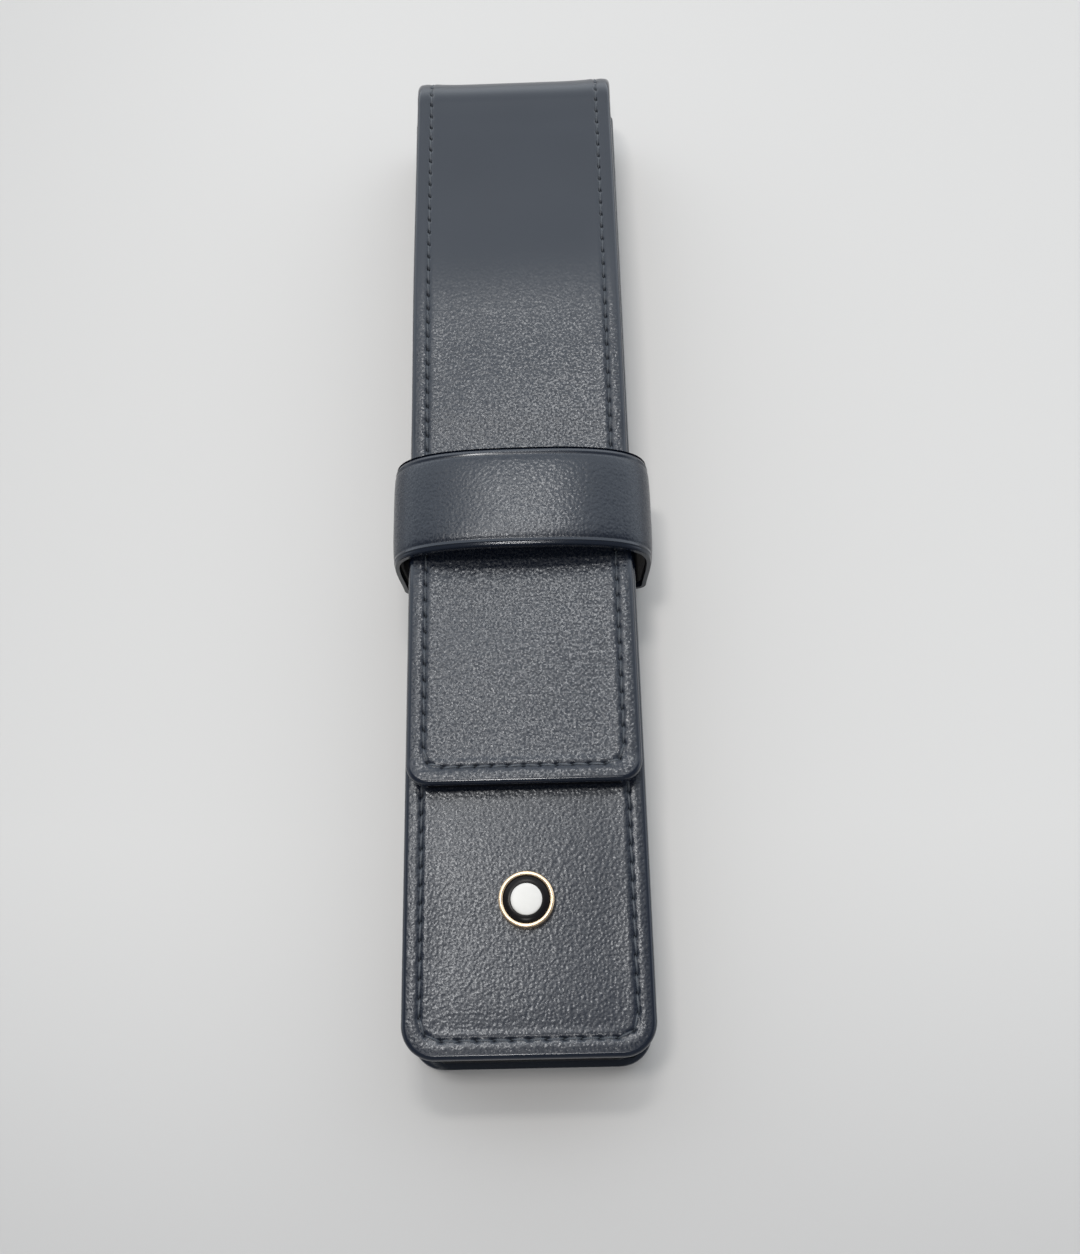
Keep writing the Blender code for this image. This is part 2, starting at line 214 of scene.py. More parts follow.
class Nodes:
    """A material's node tree, built a line at a time."""

    def __init__(self, name):
        self.material = bpy.data.materials.new(name)
        self.material.use_nodes = True
        self.tree = self.material.node_tree
        self.shader = self.tree.nodes["Principled BSDF"]

    def add(self, kind, inputs=(), **settings):
        node = self.tree.nodes.new(kind)
        for name, value in settings.items():
            setattr(node, name, value)
        for key, value in dict(inputs).items():
            if isinstance(value, bpy.types.NodeSocket):
                self.tree.links.new(value, node.inputs[key])
            else:
                node.inputs[key].default_value = value
        return node

    def place(self):
        """Place on the skin in millimetres, kept by the mesh, so the grain bends with the leather."""
        return self.add("ShaderNodeAttribute", attribute_name="place").outputs["Vector"]

    def value(self, name):
        return self.add("ShaderNodeAttribute", attribute_name=name).outputs["Fac"]

    def noise(self, vector, scale, detail=2.0, roughness=0.5, output="Fac"):
        return self.add("ShaderNodeTexNoise", {"Vector": vector, "Scale": scale, "Detail": detail,
                                               "Roughness": roughness}).outputs[output]

    def cells(self, vector, scale):
        return self.add("ShaderNodeTexVoronoi", {"Vector": vector, "Scale": scale},
                        feature="SMOOTH_F1").outputs["Distance"]

    def math(self, operation, a, b=0.0):
        return self.add("ShaderNodeMath", {0: a, 1: b}, operation=operation).outputs[0]

    def scaled(self, vector, factor):
        return self.add("ShaderNodeVectorMath", {0: vector, "Scale": factor}, operation="SCALE").outputs[0]

    def spread(self, value, low, high, start=0.0, end=1.0, **settings):
        """A value between start and end, spread between low and high."""
        ranges = {"Value": value, "From Min": start, "From Max": end, "To Min": low, "To Max": high}
        return self.add("ShaderNodeMapRange", ranges, **settings).outputs["Result"]

    def mix(self, factor, a, b):
        return self.add("ShaderNodeMix", {"Factor": factor, 6: (*a, 1.0), 7: (*b, 1.0)},
                        data_type="RGBA").outputs[2]

    def set(self, **values):
        """Values and links on the shader's own sockets, named with _ for a space."""
        for name, value in values.items():
            socket = self.shader.inputs[name.replace("_", " ")]
            if isinstance(value, bpy.types.NodeSocket):
                self.tree.links.new(value, socket)
            else:
                socket.default_value = value

    def facets(self, vector, scale, tilt, strength):
        """The surface's normal, leaning this way and that from one speck of grain to the next."""
        grain = self.noise(vector, scale, roughness=0.6, output="Color")
        lean = self.add("ShaderNodeVectorMath", {0: grain, 1: (tilt,) * 3, 2: (-tilt / 2,) * 3},
                        operation="MULTIPLY_ADD").outputs[0]
        part = self.scaled(lean, strength)
        normal = self.add("ShaderNodeNewGeometry").outputs["Normal"]
        both = self.add("ShaderNodeVectorMath", {0: normal, 1: part}, operation="ADD").outputs[0]
        return self.add("ShaderNodeVectorMath", {0: both}, operation="NORMALIZE").outputs[0]

    def bump(self, height, distance, strength=1.0, normal=None):
        node = self.add("ShaderNodeBump", {"Height": height, "Distance": distance, "Strength": strength})
        if normal is not None:
            self.tree.links.new(normal, node.inputs["Normal"])
        self.set(Normal=node.outputs["Normal"])

    def finish(self, pattern, dark, pale, smooth, rough, relief, **values):
        """The material, with a shade, a roughness and a relief that all follow one pattern."""
        self.set(Base_Color=self.mix(pattern, dark, pale), Roughness=self.spread(pattern, smooth, rough),
                 **values)
        self.bump(pattern, relief)
        return self.material


def calf_leather(name, grain_scale, grain_tilt, matt):
    """Smooth black calf: glossy grain tops, matt between them, smoother over the fold and on rims."""
    n = Nodes(name)
    place = n.place()
    cloud = n.noise(place, scale=0.09, detail=3.0)
    pebble = n.cells(place, scale=2.4)
    base = n.mix(cloud, (0.005, 0.008, 0.017), (0.009, 0.013, 0.024))
    # Painted shade: the base colour is darkened to near black in the stitch holes, by how deep in them a
    # point lies
    sunk_and_shaded = n.add("ShaderNodeMix", {"Factor": n.value("sunk_and_shaded"), 6: base, 7: (0.001, 0.001, 0.002, 1.0)},
                 data_type="RGBA").outputs[2]
    burnished = n.value("burnished")
    grain = n.noise(place, grain_scale, roughness=0.6)
    gloss = n.spread(grain, top_roughness, matt, start=0.45, end=0.60)
    gloss = n.spread(burnished, gloss, fold_roughness, start=0.0, end=fold_share)
    gloss = n.spread(burnished, gloss, rim_roughness, start=fold_share, end=1.0)
    n.set(Base_Color=sunk_and_shaded, Roughness=n.spread(n.value("sunk_and_shaded"), gloss, hole_roughness),
          Specular_IOR_Level=0.6, Specular_Tint=(0.90, 0.95, 1.0, 1.0))
    grained = n.spread(burnished, 1.0, 0.0, start=0.0, end=fold_share)
    leaning = n.facets(place, grain_scale, grain_tilt, grained)
    n.bump(pebble, distance=0.00004, strength=grained, normal=leaning)
    return n.material


def end_paint_and_shade(name):
    """Matt black edge paint for a cut end of the leather, made near black as painted shade for the shadow
    there.
    """
    n = Nodes(name)
    return n.finish(n.noise(n.place(), scale=1.2), dark=(0.002, 0.003, 0.006), pale=(0.004, 0.005, 0.009),
                    smooth=0.80, rough=0.95, relief=0.00002, Specular_IOR_Level=0.1)


def lining_leather(name):
    """Matt black lining with a short nap."""
    n = Nodes(name)
    place = n.place()
    nap = n.noise(place, scale=5.0, detail=4.0, roughness=0.7)
    cloud = n.noise(place, scale=0.3)
    n.set(Base_Color=n.mix(cloud, (0.010, 0.010, 0.012), (0.018, 0.018, 0.020)),
          Roughness=n.spread(nap, 0.72, 0.92), Sheen_Weight=0.15)
    n.bump(nap, distance=0.00004)
    return n.material


def waxed_thread(name):
    """Black thread with the fine slanting lines of its twist."""
    n = Nodes(name)
    twist = n.add("ShaderNodeTexWave", {"Vector": n.place(), "Scale": 2.2, "Distortion": 0.6},
                  bands_direction="DIAGONAL").outputs["Fac"]
    return n.finish(twist, dark=(0.036, 0.046, 0.060), pale=(0.062, 0.074, 0.092),
                    smooth=0.35, rough=0.50, relief=0.00002)


def object_place(n):
    """Place in the frame in millimetres."""
    return n.scaled(n.add("ShaderNodeTexCoord").outputs["Object"], mm_per_metre)


def gilt(name):
    n = Nodes(name)
    wear = n.noise(object_place(n), scale=1.6, detail=4.0)
    return n.finish(wear, dark=(0.86, 0.63, 0.40), pale=(0.93, 0.75, 0.55), smooth=0.28, rough=0.36,
                    relief=0.000001, Metallic=1.0)


def black_enamel(name):
    n = Nodes(name)
    flow = n.noise(object_place(n), scale=1.1)
    return n.finish(flow, dark=(0.006, 0.006, 0.007), pale=(0.011, 0.010, 0.011), smooth=0.20, rough=0.28,
                    relief=0.000006, Specular_IOR_Level=0.12)


def white_resin(name):
    n = Nodes(name)
    flow = n.noise(object_place(n), scale=1.4)
    return n.finish(flow, dark=(0.68, 0.68, 0.66), pale=(0.74, 0.74, 0.73), smooth=0.30, rough=0.40,
                    relief=0.000006)


def fibre_board(name):
    n = Nodes(name)
    fibre = n.noise(object_place(n), scale=3.5, detail=5.0, roughness=0.7)
    return n.finish(fibre, dark=(0.24, 0.22, 0.19), pale=(0.36, 0.33, 0.29), smooth=0.85, rough=0.97,
                    relief=0.00004)


calf = calf_leather("calf_leather", grain_scale=2.9, grain_tilt=0.45, matt=0.52)
front_calf = calf_leather("front_calf", grain_scale=4.0, grain_tilt=0.25, matt=0.39)
loop_calf = calf_leather("loop_calf", grain_scale=3.3, grain_tilt=0.30, matt=0.43)
end_shade_paint = end_paint_and_shade("end_paint_and_shade")
lining = lining_leather("lining_leather")
thread = waxed_thread("waxed_thread")
gilt_metal = gilt("gilt_metal")
enamel = black_enamel("black_enamel")
resin = white_resin("white_resin")
board = fibre_board("fibre_board")


# Meshes

def add_object(name, data):
    """A new object in the scene."""
    added = bpy.data.objects.new(name, data)
    bpy.context.scene.collection.objects.link(added)
    return added


def make_piece(name, points, faces, material, places, sunk_and_shaded=None, burnished=None):
    """A closed mesh with outward faces, shaded smooth, with its places on the skin in millimetres."""
    mesh = bpy.data.meshes.new(name)
    mesh.from_pydata(np.asarray(points, float).tolist(), [], faces)
    if signed_volume(mesh) < 0:
        mesh.flip_normals()
    mesh.shade_smooth()
    mesh.set_sharp_from_angle(angle=smooth_angle)
    kept = mesh.attributes.new("place", "FLOAT_VECTOR", "POINT")
    kept.data.foreach_set("vector", (np.asarray(places, np.float32) * mm_per_metre).ravel())
    # Depth in the stitch holes, for the painted shade and rougher finish there, and how burnished each
    # point is
    for kind, values in (("sunk_and_shaded", sunk_and_shaded), ("burnished", burnished)):
        if values is not None:
            kept = mesh.attributes.new(kind, "FLOAT", "POINT")
            kept.data.foreach_set("value", np.asarray(values, np.float32).ravel())
    mesh.materials.append(material)
    return add_object(name, mesh)


def signed_volume(mesh):
    """Volume enclosed by a mesh, negative if its faces point inwards."""
    mesh.calc_loop_triangles()
    corners = np.zeros(len(mesh.loop_triangles) * 3, np.int32)
    mesh.loop_triangles.foreach_get("vertices", corners)
    co = np.zeros(len(mesh.vertices) * 3)
    mesh.vertices.foreach_get("co", co)
    a, b, c = co.reshape(-1, 3)[corners.reshape(-1, 3)].transpose(1, 0, 2)
    return float(np.einsum("ij,ij->i", a, np.cross(b, c)).sum()) / 6


def ring_faces(rows):
    """Faces between rings whose points have keys in ring order, with some keys left out of some rings."""
    faces = []
    starts = np.cumsum([0] + [len(keys) for keys in rows])
    for r in range(len(rows) - 1):
        near = {key: starts[r] + i for i, key in enumerate(rows[r])}
        far = {key: starts[r + 1] + i for i, key in enumerate(rows[r + 1])}
        both = [key for key in rows[r] if key in far]
        for a, b in zip(both, both[1:] + both[:1]):
            side = walk(near[a], near[b], starts[r], len(rows[r]))
            other = walk(far[a], far[b], starts[r + 1], len(rows[r + 1]))
            faces.append(side + other[::-1])
    faces.append(list(range(len(rows[0])))[::-1])
    faces.append([starts[-2] + i for i in range(len(rows[-1]))])
    return [[int(i) for i in face] for face in faces]


def walk(first, last, start, count):
    """Indices round a ring from one point to another."""
    found = [first]
    while found[-1] != last:
        found.append(start + (found[-1] - start + 1) % count)
    return found


def tube_faces(rows, count, first=0, closed=False):
    """Faces through rings of equally many points, all around or with both ends filled."""
    faces = []
    for r in range(rows if closed else rows - 1):
        near, far = first + r * count, first + (r + 1) % rows * count
        for i in range(count):
            j = (i + 1) % count
            faces.append([near + i, near + j, far + j, far + i])
    if not closed:
        faces.append([first + i for i in range(count)][::-1])
        faces.append([first + (rows - 1) * count + i for i in range(count)])
    return faces


def loft(name, rings, material, places, closed=False, burnished=None):
    """A closed mesh through rings, all around or with both ends filled."""
    rings = np.asarray(rings, float)
    rows, count = rings.shape[:2]
    return make_piece(name, rings.reshape(-1, 3), tube_faces(rows, count, closed=closed), material,
                      np.asarray(places, float).reshape(-1, 3), burnished=burnished)


# Panels

def strip_lift(s):
    """How far the flap stands above its solid: a low arch before the loop, and a lifted tip."""
    past = s - flap_start
    left = fold_centre - loop_high.y - past
    slopes = np.stack([past / arch_crest, left / (left + past - arch_crest)])
    arch = arch_height * -np.log(np.exp(-arch_bend * slopes).sum(0)) / arch_bend
    arch = np.maximum(arch, 0.0) * rise(past / arch_ease) * rise(left / arch_ease)
    tip = tip_lift * rise((s - strip_length + tip_run) / tip_run)
    return arch + tip


def fold_smoothing(s):
    """How far the grain is stretched out of the leather: wholly over the fold, fading on both sides."""
    past = np.maximum(s - flap_start - fold_smooth, 0.0)
    before = np.maximum(back_run - s, 0.0)
    return 1 - rise((past + before) / fold_fade)


def loop_press(s):
    """How far the flap's outer face is pressed in where it passes through the loop."""
    beyond = s - flap_start - fold_centre + loop_low.y
    return loop_dip * rise((beyond + 2 * dip_run) / dip_run) * rise(1 - beyond / dip_run)


def strip_place(x, s, depth):
    """Points of the long strip."""
    turn = np.clip((s - back_run) / fold_radius, 0.0, math.pi)
    along, up = np.sin(turn), -np.cos(turn)
    y = fold_centre + fold_radius * along + np.minimum(s - back_run, 0) - np.maximum(s - flap_start, 0)
    dip = fold_dip * bell(s - back_run - fold_run / 2, fold_radius) * rise(
        (strip_half(s) - seam_inset - np.abs(x)) / dip_reach)
    pressed = loop_press(s) * np.clip(1 - depth / skin_depth, 0.0, 1.0)
    height = strip_lift(s) - dip - pressed - depth
    return np.stack([x + 0 * s, y + height * along, fold_radius + fold_radius * up + height * up], -1)


def strip_half(s):
    """The strip narrows from the back's width to the flap's over the fold."""
    share = np.clip((s - back_run) / fold_run, 0.0, 1.0)
    tuck = fold_tuck * bell(s - back_run - fold_run / 2, fold_radius / 2)
    return back_high.x + share * (tongue_high.x - back_high.x) - tuck


def front_place(x, s, depth):
    """Points of the front panel."""
    return np.stack([x + 0 * s, front_low.y + s + 0 * x, front_high.z - depth + 0 * s], -1)


def front_half(s):
    return front_high.x + 0 * s


def spaced(rows, least):
    """Rows without those that lie too close to the one before."""
    return rows[np.concatenate([[True], np.diff(rows) > least])]


class Panel:
    """A panel of leather: where its points lie, its width, its rounded ends and the seam round it."""

    def __init__(self, place, half, length, radii, seam_radii):
        self.place = place
        self.half = half
        self.length = length
        self.radii = radii
        self.seam_radii = seam_radii
        self.holes, self.runs = self.seam()

    def row_half(self, s):
        """Half width of a row, less in the rounds of the corners."""
        first, last = self.radii
        return self.half(s) - hollow(first, first - s) - hollow(last, last - self.length + s)

    def inset(self, x, s, margin=0.0, radii=None):
        """Distance in from the panel's edge, or from a line at a margin inside it."""
        radii = radii or self.radii
        side = self.half(s) - margin - np.abs(x)
        ends = s - margin, self.length - margin - s
        inset = np.minimum(side, np.minimum(*ends))
        for radius, distance in zip(radii, ends):
            beside, beyond = radius - side, radius - distance
            corner = (beside > 0) & (beyond > 0)
            inset = np.where(corner, radius - np.hypot(beside, beyond), inset)
        return inset

    def seam(self):
        """Holes of the seam up one side of the panel and half along its ends, and its run at each."""
        first, last = self.seam_radii
        turns = np.radians(np.arange(0, 91, 5))
        low, high = seam_inset, self.length - seam_inset
        side = np.arange(low + first, high - last, side_step)
        x = np.concatenate([[0.0], self.half(low) - seam_inset - first + first * np.sin(turns),
                            self.half(side) - seam_inset,
                            self.half(high) - seam_inset - last + last * np.cos(turns), [0.0]])
        s = np.concatenate([[low], low + first - first * np.cos(turns), side,
                            high - last + last * np.sin(turns), [high]])
        run = np.concatenate([[0.0], np.cumsum(np.hypot(np.diff(x), np.diff(s)))])
        bend = (len(turns) - 1) // 2
        marks = [0.0, run[1 + bend], run[-2 - bend], run[-1]]
        places = np.concatenate([np.linspace(a, b, round((b - a) / stitch_pitch), endpoint=False)
                                 for a, b in zip(marks, marks[1:])] + [run[-1:]])

        def points(at):
            return np.stack([np.interp(at, run, x), np.interp(at, run, s)], -1)

        runs = points(places + seam_step) - points(places - seam_step)
        return points(places), runs / np.linalg.norm(runs, axis=1)[:, None]

    def rows(self):
        """Places along the panel: close at its ends, and set by the holes between them."""
        near = [edge_round * (1 - math.cos(t)) for t in quarter(edge_steps)]
        near += [leather_thickness, leather_thickness + rim_step]
        near += list(np.arange(edge_round, 2 * seam_inset, seam_step))
        ends = []
        for radius in self.radii:
            arc = [radius * (1 - math.cos(t)) for t in quarter(corner_steps)]
            ends.append(np.array(near + arc))
        side = self.holes[(self.holes[:, 1] > 2 * seam_inset)
                          & (self.holes[:, 1] < self.length - 2 * seam_inset), 1]
        middle = (side[:, None] + stitch_pitch * stitch_shares).ravel()
        rows = np.concatenate([ends[0], middle, self.length - ends[1]])
        return spaced(np.unique(np.round(rows, row_digits)), least_row)

    def close_rows(self, s):
        """Whether a row lies in a seam that runs across the panel."""
        reach = np.minimum(s, self.length - s)
        return np.abs(reach - seam_inset) < close_reach

    def shape(self, x, s):
        """Height of the skin over its flat face, and how deep in a seam hole it lies, for its painted
        shade.
        """
        edge = np.maximum(self.inset(x, s), 0.0)
        seam = self.inset(x, s, seam_inset, self.seam_radii)
        height = -hollow(edge_round, edge_round - edge)
        height += ridge_height * bell(edge - ridge_inset, ridge_width)
        height -= groove_depth * bell(seam, groove_width)
        height += shoulder_height * bell(seam - shoulder_inset, shoulder_width)
        waves = np.sin(2 * math.pi * s / wave_length + wave_slant * x)
        height += wave_height * waves * rise(seam / wave_fade)
        pits = np.zeros_like(height)
        reach = np.abs(seam) < 3 * hole_length
        pits[reach] = self.in_holes(x[reach], s[reach])
        return height - hole_depth * pits, np.clip(pits, 0.0, 1.0)

    def in_holes(self, x, s):
        """How deep points near the seam lie in one of its slanting holes, from 0 to 1."""
        found = np.zeros_like(x)
        for low in range(0, len(x), hole_batch):
            part = slice(low, low + hole_batch)
            away = np.stack([np.abs(x[part, None]) - self.holes[:, 0],
                             s[part, None] - self.holes[:, 1]], -1)
            along = (away * self.runs).sum(-1)
            across = away[..., 0] * self.runs[:, 1] - away[..., 1] * self.runs[:, 0]
            turn = hole_slant * np.sign(x[part, None])
            long = along * np.cos(turn) + across * np.sin(turn)
            short = across * np.cos(turn) - along * np.sin(turn)
            found[part] = np.exp(-(long / hole_length) ** 2 - (short / hole_width) ** 2).max(1)
        return found


strip = Panel(strip_place, strip_half, strip_length, (case_corner, flap_corner),
              (seam_corner, flap_seam_corner))
front = Panel(front_place, front_half, front_length, (case_corner, mouth_corner),
              (seam_corner, flap_seam_corner))


def columns():
    """Insets from the edge, close together over the round, the ridge and the groove."""
    rounding = [edge_round * (1 - math.cos(t)) for t in quarter(edge_steps)]
    return np.array(rounding + ridge_insets + groove_insets + inner_insets)


def end_reach(panel, rows, span):
    """Distance of each row from those of the panel's ends that the stretch holds."""
    far = np.full_like(rows, panel.length)
    near_start = rows if span[0] == 0.0 else far
    near_end = panel.length - rows if span[1] == panel.length else far
    return np.minimum(near_start, near_end)


def span_rows(panel, span):
    """Rows of a stretch of a panel: one at each cut, and the panel's own between them."""
    start, end = span
    own = panel.rows()
    margin = 0.0 if start == 0.0 or end == panel.length else cut_margin
    inside = own[(own > start + margin) & (own < end - margin)]
    return spaced(np.concatenate([[start], inside, [end]]), least_gap)


def skin(name, panel, span, material=calf):
    """The outer leather of a panel between two places along it, its edges turned down."""
    rows = span_rows(panel, span)
    insets = columns()
    half = panel.row_half(rows)[:, None]
    middle = np.linspace(-1.0, 1.0, wide_columns * close_columns + 1)[1:-1]
    inner = half - insets[-1]
    x = np.concatenate([-(half - insets), inner * middle, (half - insets)[:, ::-1]], 1)
    s = np.repeat(rows[:, None], x.shape[1], 1)
    # The second value is how deep in the stitch holes each point lies, which the calf's colour uses as
    # painted shade
    height, sunk_and_shaded = panel.shape(x, s)
    burnished = 1 - rise((panel.inset(x, s) - burnished_edge) / burnished_fade)
    if panel is strip:
        burnished = np.maximum(burnished, fold_share * fold_smoothing(s))

    ceiling = np.where(end_reach(panel, rows, span) <= leather_thickness + rim_step / 2,
                       skin_depth - rim_step, leather_thickness)[:, None]
    side = [(0.0, (edge_round + skin_depth) / 2), (0.0, skin_depth - low_round),
            (low_bevel, skin_depth - low_bevel), (low_round, skin_depth),
            (leather_thickness, skin_depth)]
    under_x = [half - inset for inset, _ in side] + [half - leather_thickness]
    under_depth = [np.full_like(half, depth) for _, depth in side] + [ceiling]
    under_x += [-across for across in under_x[::-1]]
    under_depth += under_depth[::-1]
    x = np.concatenate([x] + under_x, 1)
    below = np.concatenate([-height] + under_depth, 1)
    s = np.repeat(rows[:, None], x.shape[1], 1)
    sunk_and_shaded = np.concatenate([sunk_and_shaded, np.zeros((len(rows), len(under_x)))], 1)
    burnished = np.concatenate([burnished, np.ones((len(rows), len(under_x)))], 1)
    points = panel.place(x, s, below)
    places = np.stack([x, s, -below], -1)

    edge = len(insets)
    every = np.arange(x.shape[1])
    top = x.shape[1] - len(under_x)
    wide = [k for k in every if k < edge or k >= top - edge or (k - edge + 1) % close_columns == 0]
    keys = [list(every) if close else wide for close in panel.close_rows(rows)]
    picked = [row * x.shape[1] + np.array(row_keys) for row, row_keys in enumerate(keys)]
    chosen = np.concatenate(picked)
    piece = make_piece(name, points.reshape(-1, 3)[chosen], ring_faces(keys), material,
                       places.reshape(-1, 3)[chosen], sunk_and_shaded.ravel()[chosen],
                       burnished.ravel()[chosen])
    # Painted shade: only the flap's cut end gets the near-black paint, for the shadow under its lifted tip
    if panel is strip and span[1] == panel.length:
        piece.data.materials.append(end_shade_paint)
        piece.data.polygons[-1].material_index = 1
    return piece


def lining_sheet(name, panel, span):
    """Lining under a panel's skin, its edge rounded, its face drawn in a little along the seam."""
    start, end = span
    first = start + (lining_inset if start == 0.0 else 0.0)
    last = end - (lining_inset if end == panel.length else 0.0)
    count = max(int((last - first) / lining_step), least_lining_rows)
    rows = np.linspace(first, last, count + 1)
    reach = end_reach(panel, rows, span) - lining_inset
    half = panel.row_half(rows) - lining_inset
    for radius, distance, at_end in ((panel.radii[0], rows - first, start == 0.0),
                                     (panel.radii[1], last - rows, end == panel.length)):
        if at_end:
            corner = max(radius - lining_inset, lining_inset)
            half = np.minimum(half, panel.half(rows) - lining_inset - hollow(corner, corner - distance))
    half = half[:, None]
    inner = (half - lining_insets[-1]) * np.linspace(-1.0, 1.0, lining_columns + 1)[1:-1]
    x = np.concatenate([lining_insets - half, inner, (half - lining_insets)[:, ::-1]], 1)
    s = np.repeat(rows[:, None], x.shape[1], 1)
    seam = panel.inset(x, s, seam_inset, panel.seam_radii)
    edge = np.minimum(half - np.abs(x), reach[:, None])
    face = lining_depth - hollow(lining_round, lining_round - edge)
    face -= lining_groove_depth * bell(seam, lining_groove_width)
    top = np.full_like(x, skin_depth + lining_gap)
    x = np.concatenate([x, x[:, ::-1]], 1)
    below = np.concatenate([top, face[:, ::-1]], 1)
    s = np.repeat(rows[:, None], x.shape[1], 1)
    points = panel.place(x, s, below)
    places = np.stack([x, s, -below], -1)
    return loft(name, points, lining, places)


def seam_thread(name, panel, span, face, out):
    """Stitches of a seam between two places along a panel, lying on a face at a depth below its skin.

    out is -1 where the thread stands out towards the skin, and 1 where it stands out the other way.
    """
    steps = np.linspace(0.0, 1.0, thread_rings)
    turns = np.arange(thread_sides) * 2 * math.pi / thread_sides
    nearing = np.abs(2 * steps - 1) ** 3
    girth = thread_radius * np.sqrt(1 - thread_taper * nearing)
    sink = thread_sink + thread_dive * nearing
    depth = face - out * sink[:, None] + girth[:, None] * np.sin(turns)
    sideways = (girth[:, None] * np.cos(turns))[..., None]
    slant = ((0.5 - steps) * 2 * thread_slant)[:, None]
    lengthwise = np.repeat(steps[:, None] * stitch_pitch, thread_sides, 1)
    around = np.repeat((turns * thread_radius)[None], thread_rings, 0)
    points, faces, places = [], [], []
    for side in (1, -1):
        for a, b in zip(panel.holes, panel.holes[1:]):
            if not span[0] <= (a + b)[1] / 2 < span[1]:
                continue
            run = (b - a) / np.linalg.norm(b - a)
            across = np.array([run[1], -run[0]])
            line = a + steps[:, None] * (b - a) + slant * across
            flat = line[:, None] + sideways * across
            tube = tube_faces(thread_rings, thread_sides, len(points) * thread_rings * thread_sides)
            faces += tube if side > 0 else [corners[::-1] for corners in tube]
            points.append(panel.place(side * flat[..., 0], flat[..., 1], depth).reshape(-1, 3))
            places.append(np.stack([around, lengthwise + len(points), 0 * around], -1).reshape(-1, 3))
    return make_piece(name, np.concatenate(points), faces, thread, np.concatenate(places))


# Back, fold and flap

def hinge_run(name):
    """Distance along the strip at which a hinge of the flap lies."""
    return flap_start + fold_centre - hinges[name].y


apex = back_run + fold_run / 2
root_run, crest_run, foot_run = hinge_run("flap_bow"), hinge_run("flap_crest"), hinge_run("flap_foot")
cuts = [0.0, apex, flap_start, (root_run + crest_run) / 2, (crest_run + foot_run) / 2, strip_length]


# The strip's stretches and the solids each one stands in for. Each cut through the strip lies on one body.
stretches = ["back", "fold", "flap_upper", "flap_middle", "flap_end"]
replaced = [["back_leather", "fold_leather"], ["flap_root_leather"], ["flap_upper_leather"],
            ["flap_middle_leather"], ["flap_tongue_leather"]]
replaced_linings = [["back_lining", "fold_lining"], ["flap_root_lining"], ["flap_upper_lining"],
                    ["flap_middle_lining"], ["flap_tongue_lining"]]


def make_strip():
    for i, name in enumerate(stretches):
        span = cuts[i], cuts[i + 1]
        leather = skin(name + "_skin", strip, span)
        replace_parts(leather, *replaced[i])
        under = lining_sheet(name + "_lining_sheet", strip, span)
        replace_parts(under, *replaced_linings[i])
        threads = [seam_thread(name + "_seam", strip, span, 0.0, -1)]
        if i > 0:
            threads.append(seam_thread(name + "_seam_under", strip, span, lining_depth, 1))
        for piece in [leather, under] + threads:
            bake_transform(piece)


def make_front():
    whole = (0.0, front_length)
    leather = skin("front_skin", front, whole, front_calf)
    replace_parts(leather, "front_leather")
    under = lining_sheet("front_lining_sheet", front, whole)
    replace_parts(under, "front_lining")
    for piece in (leather, under, seam_thread("front_seam", front, whole, 0.0, -1)):
        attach(piece, "case")


# Side wall of the pocket

flange_inset = front_high.x - gusset_high.x
flange_thickness = 0.0010
wall_inset = 0.0034
wall_bow = 0.0005
wall_bend = 0.0009
wall_corner_gap = 0.0006
wall_lining_gap = 0.0002
wall_lining_thickness = 0.0004
wall_rings = 70
wall_turns = 9
wall_steps = 4
wall_lining_points = 9


def wall_path():
    """Places on the outline that the side wall follows, as a point and an inward direction."""
    half, radius = front_high.x, case_corner
    straight = np.linspace(gusset_high.y, front_low.y + radius, wall_rings)
    turns = np.linspace(0.0, math.pi / 2, wall_turns + 1)[1:]
    side = [((half, y), (-1.0, 0.0)) for y in straight]
    side += [((half - radius + radius * math.cos(t), front_low.y + radius - radius * math.sin(t)),
              (-math.cos(t), math.sin(t))) for t in turns]
    other = [((-x, y), (-inward, ahead)) for (x, y), (inward, ahead) in side[::-1]]
    return side + other


def wall_section(low, high):
    """Section of the side wall with two flanges, as insets and heights, on its outer and inner face."""
    bend = quarter(wall_steps)
    flange = [(flange_inset, low + flange_thickness)]
    flange += [(wall_inset - wall_bend + wall_bend * math.sin(t),
                low + flange_thickness + wall_bend * (1 - math.cos(t))) for t in bend]
    half = (high - low) / 2
    rest = [(wall_inset + wall_bow * math.sin(math.pi * k / (2 * wall_steps)),
             low + flange_thickness + wall_bend + (half - flange_thickness - wall_bend) * k / wall_steps)
            for k in range(1, wall_steps + 1)]
    lower = flange + rest
    outer = lower + [(inset, low + high - z) for inset, z in lower[-2::-1]]
    inner_bend = wall_bend + flange_thickness
    back = [(flange_inset, low)]
    back += [(wall_inset - wall_bend + inner_bend * math.sin(t), low + inner_bend * (1 - math.cos(t)))
             for t in bend]
    back += [(inset + flange_thickness, z) for inset, z in rest]
    inner = back + [(inset, low + high - z) for inset, z in back[-2::-1]]
    return outer + inner[::-1]


def wall_ring(point, inward, section):
    """Points of a section at a place on the outline, short of the centre in a round corner."""
    (x, y), (ix, iy) = point, inward
    ring = []
    for inset, z in section:
        reach = min(inset, case_corner - wall_corner_gap) if abs(ix) < 1 and abs(iy) < 1 else inset
        ring.append((x + ix * reach, y + iy * reach, z))
    return ring


